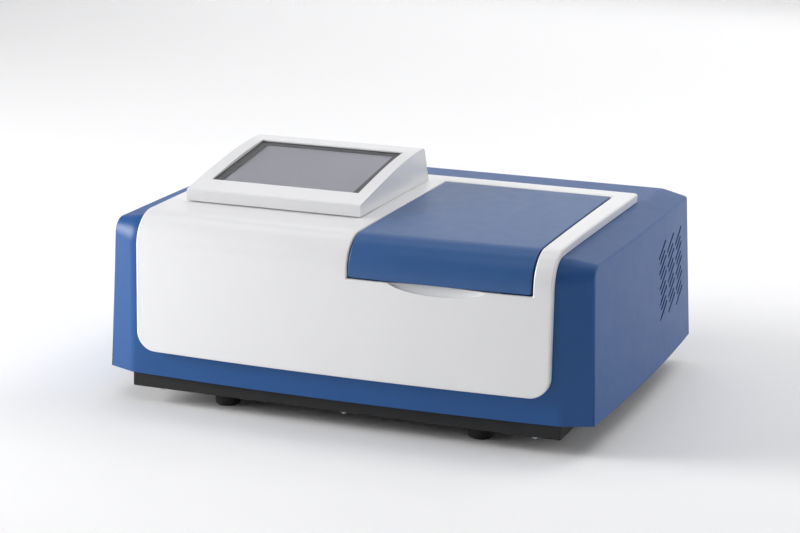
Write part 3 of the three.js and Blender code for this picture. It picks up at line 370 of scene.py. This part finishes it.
def surface(name, colour, roughness, metallic=0.0, grain_mm=0.7, grain=0.12, depth_mm=0.05,
            variation=0.06, spread=0.05, patch_mm=60, coat=0.0,
            stretch=(1, 1, 1), worn=None, specular=0.5):
    """A moulded, painted or metal finish: fine grain, slow colour and gloss variation, wear."""
    material, tree, bsdf = shader(name)
    dark = tuple(c * (1 - variation) for c in colour)
    light = tuple(min(c * (1 + variation), 1) for c in colour)
    patches = noise_at(tree, patch_mm, 3.0)
    tone = blend_colours(tree, ranged(tree, patches, 0.3, 0.7, 0, 1), dark, light)
    if worn is not None:
        edges = tree.nodes.new("ShaderNodeNewGeometry")
        mask = ranged(tree, edges.outputs["Pointiness"], 0.52, 0.6, 0, 0.5)
        mix = tree.nodes.new("ShaderNodeMix")
        mix.data_type = "RGBA"
        link(tree, mask, mix.inputs["Factor"])
        link(tree, tone, mix.inputs["A"])
        mix.inputs["B"].default_value = (*worn, 1)
        tone = mix.outputs["Result"]
    link(tree, tone, bsdf.inputs["Base Color"])
    fine = noise_at(tree, grain_mm, 2.0, stretch)
    gloss = noise_at(tree, patch_mm / 4, 3.0, stretch)
    link(tree, ranged(tree, gloss, 0.3, 0.7, roughness - spread, roughness + spread),
         bsdf.inputs["Roughness"])
    link(tree, bumped(tree, fine, depth_mm, grain), bsdf.inputs["Normal"])
    bsdf.inputs["Metallic"].default_value = metallic
    bsdf.inputs["Coat Weight"].default_value = coat
    bsdf.inputs["Coat Roughness"].default_value = 0.1
    bsdf.inputs["Specular IOR Level"].default_value = specular
    return material


def glass_material(name, tint, roughness, index=1.45):
    material, tree, bsdf = shader(name)
    bsdf.inputs["Base Color"].default_value = (*tint, 1)
    bsdf.inputs["Transmission Weight"].default_value = 1
    bsdf.inputs["IOR"].default_value = index
    smears = noise_at(tree, 14, 3.0, (1, 0.5, 1))
    link(tree, ranged(tree, smears, 0.35, 0.75, roughness, roughness + 0.04),
         bsdf.inputs["Roughness"])
    return material


def screen_material(name):
    """An unlit liquid-crystal panel behind its anti-glare film."""
    material, tree, bsdf = shader(name)
    cells = noise_at(tree, 0.35, 1.0)
    slow = noise_at(tree, 90, 2.0)
    tone = blend_colours(tree, ranged(tree, slow, 0.3, 0.7, 0, 1),
                         (0.44, 0.44, 0.50), (0.47, 0.47, 0.53))
    link(tree, tone, bsdf.inputs["Base Color"])
    link(tree, ranged(tree, cells, 0.3, 0.7, 0.42, 0.5), bsdf.inputs["Roughness"])
    link(tree, bumped(tree, cells, 0.01, 0.1), bsdf.inputs["Normal"])
    return material


def make_materials():
    blue = (0.016, 0.083, 0.262)
    lid_blue = (0.024, 0.094, 0.268)
    return {
        "housing_blue": surface("housing_blue", blue, 0.42, grain_mm=0.8, grain=0.12,
                                variation=0.02, spread=0.02, specular=0.3),
        "lid_blue": surface("lid_blue", lid_blue, 0.40, grain_mm=0.9, grain=0.3,
                            variation=0.02, spread=0.02),
        "fascia_white": surface("fascia_white", (0.80, 0.80, 0.81), 0.30, grain_mm=0.6,
                                grain=0.04, variation=0.006, spread=0.02, coat=0.2),
        "console_white": surface("console_white", (0.76, 0.76, 0.775), 0.32, grain_mm=0.6,
                                 grain=0.04, variation=0.006, spread=0.02, coat=0.2),
        "tray_black": surface("tray_black", (0.008, 0.008, 0.009), 0.6, grain_mm=0.5, grain=0.5,
                              worn=(0.03, 0.03, 0.03), specular=0.3),
        "foot_rubber": surface("foot_rubber", (0.012, 0.012, 0.012), 0.75, grain_mm=0.5,
                               grain=0.4, variation=0.3),
        "screw_steel": surface("screw_steel", (0.62, 0.62, 0.64), 0.28, 1.0, grain_mm=0.3,
                               grain=0.1),
        "hinge_steel": surface("hinge_steel", (0.52, 0.53, 0.55), 0.3, 1.0, grain_mm=0.4,
                               grain=0.2, stretch=(1, 12, 12)),
        "black_plastic": surface("black_plastic", (0.018, 0.018, 0.02), 0.5, grain_mm=0.5,
                                 grain=0.4, worn=(0.06, 0.06, 0.065)),
        "seal_foam": surface("seal_foam", (0.03, 0.03, 0.031), 0.95, grain_mm=0.8, grain=1.0,
                             depth_mm=0.3, variation=0.4, patch_mm=3),
        "anodised_black": surface("anodised_black", (0.03, 0.03, 0.034), 0.42, 0.6, grain_mm=0.4,
                                  grain=0.3, worn=(0.2, 0.2, 0.21)),
        "bench_aluminium": surface("bench_aluminium", (0.5, 0.51, 0.53), 0.4, 1.0, grain_mm=0.6,
                                   grain=0.25, stretch=(1, 20, 1)),
        "sheet_steel": surface("sheet_steel", (0.5, 0.5, 0.51), 0.35, 1.0, grain_mm=0.8,
                               grain=0.2, stretch=(1, 16, 1)),
        "motor_black": surface("motor_black", (0.025, 0.025, 0.027), 0.4, 0.4, grain_mm=0.4,
                               grain=0.3, worn=(0.3, 0.3, 0.31)),
        "optic_mirror": surface("optic_mirror", (0.86, 0.87, 0.9), 0.06, 1.0, grain_mm=4,
                                grain=0.02, spread=0.02),
        "circuit_green": surface("circuit_green", (0.012, 0.10, 0.04), 0.4, grain_mm=1.5,
                                 grain=0.5, variation=0.35, patch_mm=8),
        "bezel_grey": surface("bezel_grey", (0.03, 0.03, 0.033), 0.5, grain_mm=0.4,
                              grain=0.1),
        "lcd_grey": screen_material("lcd_grey"),
        "touch_glass": glass_material("touch_glass", (0.97, 0.97, 0.98), 0.05, 1.22),
        "optic_glass": glass_material("optic_glass", (0.95, 0.98, 0.98), 0.01),
        "lamp_glass": glass_material("lamp_glass", (0.96, 0.97, 0.98), 0.02),
    }


MATERIALS = make_materials()


def dress(piece, slot_name):
    piece.data.materials.clear()
    piece.data.materials.append(MATERIALS[slot_name])


def stand_in(piece, body, slot_name, *cad_nodes):
    """A piece that shows instead of CAD nodes."""
    dress(piece, slot_name)
    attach(piece, body)
    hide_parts(*cad_nodes)


# ---------- fascia ----------
LID_OPEN = {"left": LID["left"] - LID["gap"], "right": LID["right"] + LID["gap"],
            "bottom": LID["bottom"] - LID["gap"] - FASCIA_BOTTOM,
            "rear": length_at_y(LID["rear"] + LID["gap"])}


def to_opening(x, s):
    """Distance from a place on the fascia to the lid's opening."""
    dx = max(LID_OPEN["left"] - x, x - LID_OPEN["right"], 0)
    ds = max(LID_OPEN["bottom"] - s, s - LID_OPEN["rear"], 0)
    return math.hypot(dx, ds)


def housing_depth(s):
    """Depth of the fascia down to just off the housing under it."""
    clearance = 0.35
    place = over_top(0, s, 0)
    if s <= ROLL_START:
        depth = FASCIA_PROUD
    elif s <= CROWN_START:
        rise = place.z - (HOUSING_TOP - HOUSING_ROLL_RADIUS)
        depth = math.hypot(place.y - ROLL_Y, rise) - HOUSING_ROLL_RADIUS
    else:
        depth = place.z - HOUSING_TOP
    return depth - clearance


def fascia_inset(x, s):
    """Full depth to the housing, but a plain wall beside the lid's opening, save at the scoop."""
    full = housing_depth(s)
    near = min(max((to_opening(x, s) - 8) / 8, 0), 1)
    if s <= LID_OPEN["bottom"]:
        past_scoop = abs(x - SCOOP["x"]) - SCOOP["half"]
        near = max(near, min(max((10 - past_scoop) / 8, 0), 1))
    return FASCIA_WALL + (full - FASCIA_WALL) * near


def fascia_x(x, s):
    """The fascia's sides spread a little towards the back."""
    along = (s - length_at_y(FASCIA_FLARE_Y)) / (CURVE_END - length_at_y(FASCIA_FLARE_Y))
    spread = (FASCIA_REAR_HALF - FASCIA_HALF) * min(max(along, 0), 1)
    beyond = (abs(x) - LID_OPEN["right"]) / (FASCIA_HALF - LID_OPEN["right"])
    return x + math.copysign(spread * min(max(beyond, 0), 1), x)


def make_fascia():
    outline = rounded_outline(-FASCIA_HALF, FASCIA_HALF, 0, CURVE_END, (18, 18, 5, 5), 10)
    bm = flat_sheet(outline)
    scoop_left = SCOOP["x"] - SCOOP["half"]
    scoop_right = SCOOP["x"] + SCOOP["half"]
    xs = spaced(-FASCIA_HALF, FASCIA_HALF, 26)[1:-1]
    xs += [LID_OPEN["left"] - 16, LID_OPEN["left"] - 8, LID_OPEN["left"], LID_OPEN["right"],
           LID_OPEN["right"] + 8, -LID_OPEN["right"]]
    xs += [scoop_left - 10, scoop_left - 2, scoop_right + 2, scoop_right + 10]
    ss = curve_stations() + spaced(20, ROLL_START, 3)[:-1]
    ss += [LID_OPEN["bottom"] - 16, LID_OPEN["bottom"] - 8, LID_OPEN["bottom"],
           LID_OPEN["rear"], LID_OPEN["rear"] + 8, LID_OPEN["rear"] + 16,
           length_at_y(FASCIA_FLARE_Y)]
    grid_lines(bm, xs, ss)
    gone = [f for f in bm.faces if to_opening(*f.calc_center_median()[:2]) < 1e-6]
    bmesh.ops.delete(bm, geom=gone, context="FACES")
    return rolled(bm, "fascia", fascia_inset, 1.6, fascia_x)


def scoop_cutter():
    bm = bmesh.new()
    bmesh.ops.create_uvsphere(bm, u_segments=96, v_segments=48, radius=1)
    bmesh.ops.scale(bm, vec=(SCOOP["half"], SCOOP["depth"], SCOOP["drop"]), verts=bm.verts)
    middle = (SCOOP["x"], FASCIA_FRONT + bow_at(SCOOP["x"]), LID["bottom"])
    bmesh.ops.translate(bm, vec=middle, verts=bm.verts)
    return new_object("scoop_cutter", bm)


# ---------- sample lid ----------
def make_lid():
    s0 = LID["bottom"] - FASCIA_BOTTOM
    s1 = length_at_y(LID["rear"])
    bm = flat_sheet(rounded_outline(LID["left"], LID["right"], s0, s1, (2, 2, 1, 1), 3))
    xs = spaced(LID["left"], LID["right"], 12)[1:-1]
    ss = [s for s in curve_stations() if s0 + 1 < s < s1 - 1]
    grid_lines(bm, xs, ss)
    piece = rolled(bm, "lid", lambda x, s: LID["wall"], 1.1)
    even_normals(piece)
    return piece


def lid_rib(name, x):
    """A side rib under the lid, which carries its hinge pin."""
    outline = [(-80, 178.6), (-76, 174.5), (60, 173.2), (72, 173.2), (75.2, 176), (75.2, 178.6)]
    rib = prism_object(name, outline, x, x + 2.4)
    soften(rib, 0.4, 2)
    return rib


# ---------- console ----------
def bezier(points, steps):
    """Points of a Bezier curve of any degree."""
    made = []
    degree = len(points) - 1
    for i in range(steps + 1):
        t = i / steps
        y = z = 0
        for k, (py, pz) in enumerate(points):
            share = math.comb(degree, k) * t ** k * (1 - t) ** (degree - k)
            y += share * py
            z += share * pz
        made.append((y, z))
    return made


def console_outline(inset, bottom):
    lip = 1.2
    front = CONSOLE["front"] + inset
    outline = [(front, bottom), (front, CONSOLE["lip"] - lip - inset)]
    crown = [(front + lip, CONSOLE["lip"] - inset)]
    crown += [(y, z - inset) for y, z in CROWN_HANDLES]
    crown.append((CONSOLE["crest_y"] - inset / 2, CONSOLE["crest_z"] - inset))
    outline += bezier(crown, 36)
    crest = CONSOLE["crest_y"]
    top = CONSOLE["crest_z"] - inset
    outline += bezier([(crest + 1 - inset / 2, top), (crest + 6 - inset, top),
                       (crest + 8.5 - inset, top - 8)], 10)
    outline.append((CONSOLE["rear"] - inset, bottom))
    return outline


SCREEN_TILT = math.atan2(SCREEN["rise"], SCREEN["rear"] - SCREEN["front"])


def screen_block(name, width, depth, low, high):
    piece = box_object(name, (-width / 2, -depth / 2, low), (width / 2, depth / 2, high))
    middle = Vector(((SCREEN["left"] + SCREEN["right"]) / 2,
                     (SCREEN["front"] + SCREEN["rear"]) / 2, SCREEN["z"])) * MM
    piece.data.transform(Matrix.Translation(middle) @ Matrix.Rotation(SCREEN_TILT, 4, "X"))
    return piece


def make_console():
    bottom = FASCIA_TOP + 0.3
    wall = CONSOLE["wall"]
    width = SCREEN["right"] - SCREEN["left"]
    depth = (SCREEN["rear"] - SCREEN["front"]) / math.cos(SCREEN_TILT)
    console = prism_object("console", console_outline(0, bottom), CONSOLE["left"],
                           CONSOLE["right"])
    hollow = prism_object("hollow", console_outline(wall, bottom - 5), CONSOLE["left"] + wall,
                          CONSOLE["right"] - wall)
    cut(hollow, [screen_block("surround", width + 5, depth + 5, 0.3, 30)])
    window = box_object("window", (SCREEN["left"], SCREEN["front"], 180),
                        (SCREEN["right"], SCREEN["rear"], 260))
    pocket = screen_block("pocket", width + 5, depth + 5, -12, 0.3)
    cut(console, [hollow, window, pocket])
    soften(console, 1.6, 4)
    return console


# ---------- housing ----------
def side_bottom_x(y):
    fall = (SIDE_BULGE[0] - SIDE_FRONT_X) / (WING_FRONT_Y - SIDE_BULGE[1]) ** 2
    return SIDE_BULGE[0] - fall * (y - SIDE_BULGE[1]) ** 2


def side_top_x(y):
    fall = (SIDE_TOP_BULGE[0] - SIDE_TOP_FRONT_X) / (WING_FRONT_Y - SIDE_TOP_BULGE[1]) ** 2
    return SIDE_TOP_BULGE[0] - fall * (y - SIDE_TOP_BULGE[1]) ** 2


def side_top_z(y):
    share = (y - WING_FRONT_Y) / (HOUSING_BACK - WING_FRONT_Y)
    return SIDE_TOP_Z[0] + (SIDE_TOP_Z[1] - SIDE_TOP_Z[0]) * share


def side_x(y, z):
    """Half width of the housing's side at a place."""
    share = (z - HOUSING_BOTTOM) / (side_top_z(y) - HOUSING_BOTTOM)
    return side_bottom_x(y) + (side_top_x(y) - side_bottom_x(y)) * share


def front_to_top(front_y, top_z, radius):
    """The quarter turn from an upright front edge to a top edge, as (y, z) points."""
    steps = 12
    points = []
    for i in range(steps + 1):
        angle = math.pi / 2 * i / steps
        points.append((front_y + radius * (1 - math.cos(angle)),
                       top_z - radius * (1 - math.sin(angle))))
    return points


def housing_form(name, grow, bottom):
    """The housing's closed outer form, with its edges weighted for rounding."""
    bm = bmesh.new()
    weight = bm.edges.layers.float.new("bevel_weight_edge")
    top = HOUSING_TOP + grow
    crease = CREASE_X + grow / 2
    rows = spaced(-125, HOUSING_BACK + grow, 10)

    def middle_column(x):
        front = HOUSING_FRONT + bow_at(x) - grow
        profile = [(front, bottom)]
        profile += front_to_top(front, top, HOUSING_ROLL_RADIUS + grow)
        profile += [(y, top) for y in rows]
        return [bm.verts.new((x, y, z)) for y, z in profile]

    def side_column(side):
        front = WING_FRONT_Y - grow
        profile = [(front, bottom)]
        profile += front_to_top(front, side_top_z(front) + grow, SIDE_CORNER_RADIUS + grow)
        profile += [(y, side_top_z(y) + grow) for y in rows]
        return [bm.verts.new((side * (side_x(y, z) + grow), y, z)) for y, z in profile]

    columns = [side_column(-1)]
    columns += [middle_column(x) for x in spaced(-crease, crease, 24)]
    columns.append(side_column(1))
    for left, right in zip(columns, columns[1:]):
        for k in range(len(left) - 1):
            bm.faces.new((left[k], right[k], right[k + 1], left[k + 1]))
    feet = {}
    for side, column in ((-1, columns[0]), (1, columns[-1])):
        foot = [column[0]]
        for v in column[2:]:
            foot.append(bm.verts.new((side * (side_x(v.co.y, bottom) + grow), v.co.y, bottom)))
        for k in range(len(foot) - 1):
            bm.faces.new((foot[k], foot[k + 1], column[k + 2], column[k + 1]))
        feet[side] = foot
    bm.faces.new([feet[-1][-1]] + [c[-1] for c in columns] + [feet[1][-1]])
    bm.faces.new([c[0] for c in columns] + feet[1][1:] + feet[-1][:0:-1])
    bmesh.ops.recalc_face_normals(bm, faces=bm.faces)

    def weigh(line, share):
        for a, b in zip(line, line[1:]):
            bm.edges.get((a, b))[weight] = share

    for column in (columns[0], columns[-1]):
        weigh(column, 0.6)
    for column in (columns[1], columns[-2]):
        weigh(column, 1)
    weigh([c[-1] for c in columns], 0.8)
    for side, column in ((-1, columns[0]), (1, columns[-1])):
        weigh([feet[side][-1], column[-1]], 0.8)
        weigh(feet[side], 0.15)
    weigh([c[0] for c in columns], 0.15)
    return new_object(name, bm)


def vent_cutter():
    bm = bmesh.new()
    inner_x = 222
    outer_x = 252
    tilt = VENT["tilt"]
    for column in range(VENT["columns"]):
        for row in range(VENT["rows"]):
            length = VENT["long"] if row % 2 == 0 else VENT["short"]
            y = VENT["first_y"] + column * VENT["pitch_y"] + VENT["long"] / 2 * math.cos(tilt)
            z = VENT["low_z"] + row * VENT["pitch_z"] + VENT["long"] / 2 * math.sin(tilt)
            slot = rounded_outline(-length / 2, length / 2, -VENT["width"] / 2,
                                   VENT["width"] / 2, [VENT["width"] / 2 - 0.01] * 4, 4)
            place = Matrix.Translation((0, y, z)) @ Matrix.Rotation(tilt, 4, "X")
            near = [bm.verts.new(place @ Vector((inner_x, u, v))) for u, v in slot]
            far = [bm.verts.new(place @ Vector((outer_x, u, v))) for u, v in slot]
            bm.faces.new(near[::-1])
            bm.faces.new(far)
            for i in range(len(slot)):
                j = (i + 1) % len(slot)
                bm.faces.new((near[i], near[j], far[j], far[i]))
    return new_object("vent_cutter", bm, smooth=False)


def vent_space():
    """The space close behind the cooling slots, where the wall is thinner."""
    thin_wall = 0.8
    margin = 8
    high_y = VENT["first_y"] + VENT["columns"] * VENT["pitch_y"]
    high_z = VENT["low_z"] + VENT["rows"] * VENT["pitch_z"] + VENT["long"] * math.sin(VENT["tilt"])
    space = housing_form("vent_space", -thin_wall, HOUSING_BOTTOM - 5)
    region = box_object("vent_region", (200, VENT["first_y"] - margin, VENT["low_z"] - margin),
                        (SIDE_BULGE[0] + 5, high_y, high_z))
    cut(space, [region], "INTERSECT")
    return space


def rear_cutters():
    """Openings that the rear fittings sit in, a little larger than each CAD fitting's body."""
    back = HOUSING_BACK
    reach = 6
    cutters = []
    for name, (x, width, height) in REAR_OPENINGS.items():
        low = (x - width / 2, back - reach, FITTING_Z - height / 2)
        high = (x + width / 2, back + reach, FITTING_Z + height / 2)
        cutters.append(box_object(name + "_cutter", low, high))
    bm = bmesh.new()
    bmesh.ops.create_cone(bm, cap_ends=True, segments=64, radius1=FAN["radius"],
                          radius2=FAN["radius"], depth=2 * reach)
    quarter_turn = Matrix.Rotation(math.pi / 2, 3, "X")
    bmesh.ops.rotate(bm, verts=bm.verts, cent=(0, 0, 0), matrix=quarter_turn)
    bmesh.ops.translate(bm, vec=(FAN["x"], back, FAN["z"]), verts=bm.verts)
    cutters.append(new_object("fan_cutter", bm))
    return cutters


def make_housing():
    housing = housing_form("housing", 0, HOUSING_BOTTOM)
    bevel = housing.modifiers.new("edges", "BEVEL")
    bevel.limit_method = "WEIGHT"
    bevel.width = 3.2 * MM
    bevel.segments = 4
    bevel.use_clamp_overlap = False
    bevel.loop_slide = False
    apply_modifiers(housing)
    inner = housing_form("inner", -HOUSING_WALL, HOUSING_BOTTOM - 5)
    lid_well = box_object("lid_well", (LID["left"] - 1, -145, 160), (LID["right"] + 1, 82, 180))
    cable_hole = box_object("cable_hole", (-110, -30, 160), (-70, 10, 180))
    cut(housing, [inner, vent_space(), lid_well, cable_hole, vent_cutter()] + rear_cutters())
    even_normals(housing)
    return housing


# ---------- assembling the looks ----------
fascia = make_fascia()
cut(fascia, [scoop_cutter()])
even_normals(fascia)
stand_in(fascia, "root", "fascia_white", "front_fascia")

stand_in(make_housing(), "root", "housing_blue", "housing_shell")
stand_in(make_console(), "root", "console_white", "console_housing")

lid = make_lid()
stand_in(lid, "lid", "lid_blue", "sample_lid")
for side, rib_x in (("left", LID["left"]), ("right", LID["right"] - 2.4)):
    rib = lid_rib("lid_rib_" + side, rib_x)
    dress(rib, "lid_blue")
    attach(rib, "lid")

SLOT_OF = {part["node"]: part["material_slot"] for part in frame["record"]["subparts"]}
REPLACED = {"front_fascia", "housing_shell", "console_housing", "sample_lid"}
EDGE_MM = {"base_tray": 0.6, "lid_liner": 0.8, "sample_compartment": 1.0, "cell_carriage": 0.6,
           "optical_bench": 1.0, "monochromator_box": 1.0, "monochromator_cover": 0.8,
           "power_inlet": 0.5, "fuse_drawer": 0.4, "rocker_frame": 0.4, "power_rocker": 0.5,
           "usb_port": 0.3, "serial_port": 0.3, "fan_guard": 0.5, "touch_glass": 0.15,
           "display_bezel": 0.1, "lcd_panel": 0.15}
for name, piece in NODES.items():
    if name in REPLACED:
        continue
    dress(piece, SLOT_OF[name])
    weld = piece.modifiers.new("weld", "WELD")
    weld.merge_threshold = 0.01 * MM
    soften(piece, EDGE_MM.get(name, 0.3), 2, 35)


# ---------- floor, light and camera ----------
def make_floor():
    """A round pale floor whose rim curves up into a wall, far outside the object."""
    flat = 4500
    curve = 1500
    steps = 12
    sides = 96
    profile = []
    for i in range(steps + 1):
        angle = math.pi / 2 * i / steps
        profile.append((flat + curve * math.sin(angle), curve * (1 - math.cos(angle))))
    profile.append((flat + curve, 4000))
    bm = bmesh.new()
    rings = []
    for radius, z in profile:
        turns = [2 * math.pi * k / sides for k in range(sides)]
        rings.append([bm.verts.new((radius * math.cos(turn), radius * math.sin(turn), z))
                      for turn in turns])
    bm.faces.new(rings[0])
    for low, high in zip(rings, rings[1:]):
        for k in range(sides):
            following = (k + 1) % sides
            bm.faces.new((low[k], low[following], high[following], high[k]))
    floor = new_object("floor", bm)
    material, tree, bsdf = shader("floor_paper")
    tone = blend_colours(tree, noise_at(tree, 800, 2.0), (0.92, 0.92, 0.925), (0.935, 0.935, 0.94))
    link(tree, tone, bsdf.inputs["Base Color"])
    bsdf.inputs["Roughness"].default_value = 0.9
    floor.data.materials.append(material)


def area_light(name, place, target, size, power, colour=(1, 1, 1)):
    data = bpy.data.lights.new(name, "AREA")
    data.shape = "RECTANGLE"
    data.size, data.size_y = size
    data.energy = power
    data.color = colour
    lamp = bpy.data.objects.new(name, data)
    lamp.location = place
    direction = Vector(target) - Vector(place)
    lamp.rotation_euler = direction.to_track_quat("-Z", "Y").to_euler()
    bpy.context.scene.collection.objects.link(lamp)


def make_lights():
    """Soft light mostly from the left, with a low panel behind that the tops reflect."""
    aim = (0, 0, 0.1)
    area_light("key_left", (-2.3, -1.3, 1.0), aim, (1.2, 1.2), 17)
    area_light("fill_left", (-2.4, -0.8, 0.8), aim, (1.2, 1.2), 70)
    area_light("fill_right", (2.2, 0.6, 1.0), aim, (1.2, 1.2), 12)
    area_light("floor_right", (1.1, 1.2, 2.0), (0.7, 0.8, 0), (1.0, 1.0), 12)
    area_light("floor_front", (0.2, -1.2, 2.4), (0.2, -0.9, 0), (1.6, 0.8), 7)
    area_light("top_rear", (0.0, 1.7, 1.9), aim, (2.6, 0.8), 3)
    area_light("floor_rear", (0.0, 0.6, 2.6), (0, 2.2, 0), (3.0, 1.2), 18)
    area_light("floor_far", (0.0, 3.2, 2.6), (0, 4.2, 0), (5.0, 1.6), 45)
    area_light("sheen_rear", (0.0, 2.9, 0.8), aim, (3.4, 0.9), 6)
    world = bpy.data.worlds.new("studio")
    world.use_nodes = True
    sky = world.node_tree.nodes["Background"]
    sky.inputs["Color"].default_value = (0.95, 0.96, 1.0, 1)
    sky.inputs["Strength"].default_value = 0.1
    bpy.context.scene.world = world
    bpy.context.scene.view_settings.view_transform = "Standard"


def make_camera():
    azimuth = math.radians(20.0732)
    elevation = math.radians(13.9036)
    roll = math.radians(1.0847)
    back = Vector((math.sin(azimuth) * math.cos(elevation),
                   -math.cos(azimuth) * math.cos(elevation), math.sin(elevation)))
    right = (-back).cross(Vector((0, 0, 1))).normalized()
    up = right.cross(-back)
    tilted_right = math.cos(roll) * right + math.sin(roll) * up
    tilted_up = -math.sin(roll) * right + math.cos(roll) * up
    data = bpy.data.cameras.new("camera")
    data.lens = 100.6
    data.sensor_width = 36
    data.clip_end = 50
    camera = bpy.data.objects.new("camera", data)
    turn = Matrix((tilted_right, tilted_up, back)).transposed().to_4x4()
    camera.matrix_world = Matrix.Translation((0.7015, -1.9326, 0.6212)) @ turn
    bpy.context.scene.collection.objects.link(camera)
    bpy.context.scene.camera = camera


make_floor()
make_lights()
make_camera()
